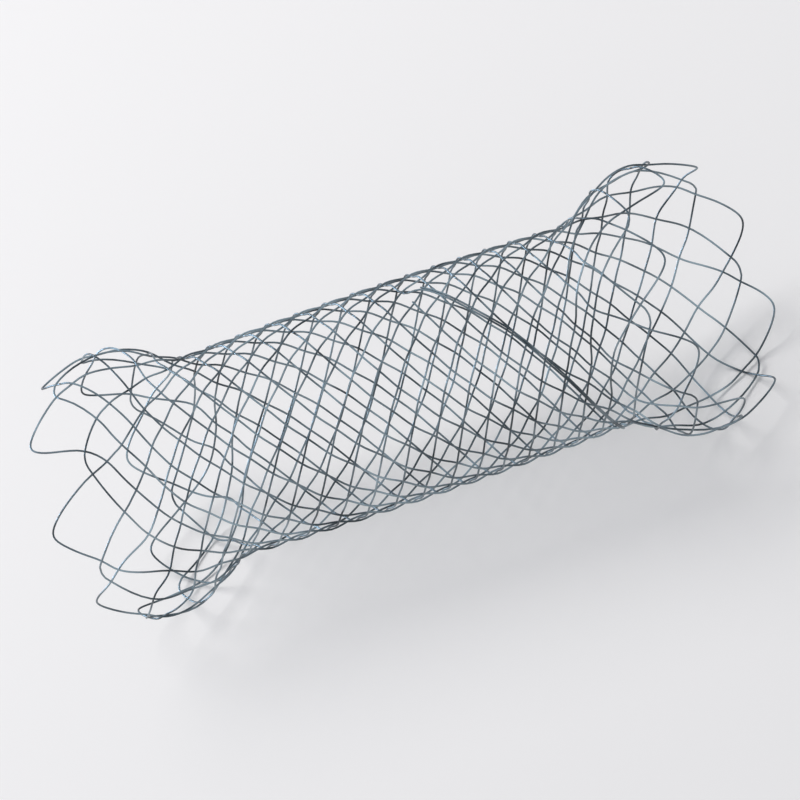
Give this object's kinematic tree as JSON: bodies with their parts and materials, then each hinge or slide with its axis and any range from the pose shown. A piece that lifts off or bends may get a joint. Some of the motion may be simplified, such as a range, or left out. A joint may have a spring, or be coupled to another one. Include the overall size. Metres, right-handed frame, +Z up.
{
  "type": "intestinal stent",
  "caption": "Woven wire tube with a flared, looped cage at each end, open all the way through, that holds a narrowed bowel open.",
  "frame": {"origin": "centre of the stent's outline, on the surface that its two flares rest on", "axes": "+X along the stent's axis, +Y across it, +Z up"},
  "size_m": [0.079, 0.0306, 0.0306],
  "materials": {
    "nitinol_wire": "dark oxidised nickel titanium wire, smooth, with a faint blue sheen"
  },
  "bodies": {
    "root": {"stent_wire": "nitinol_wire"}
  },
  "joints": []
}
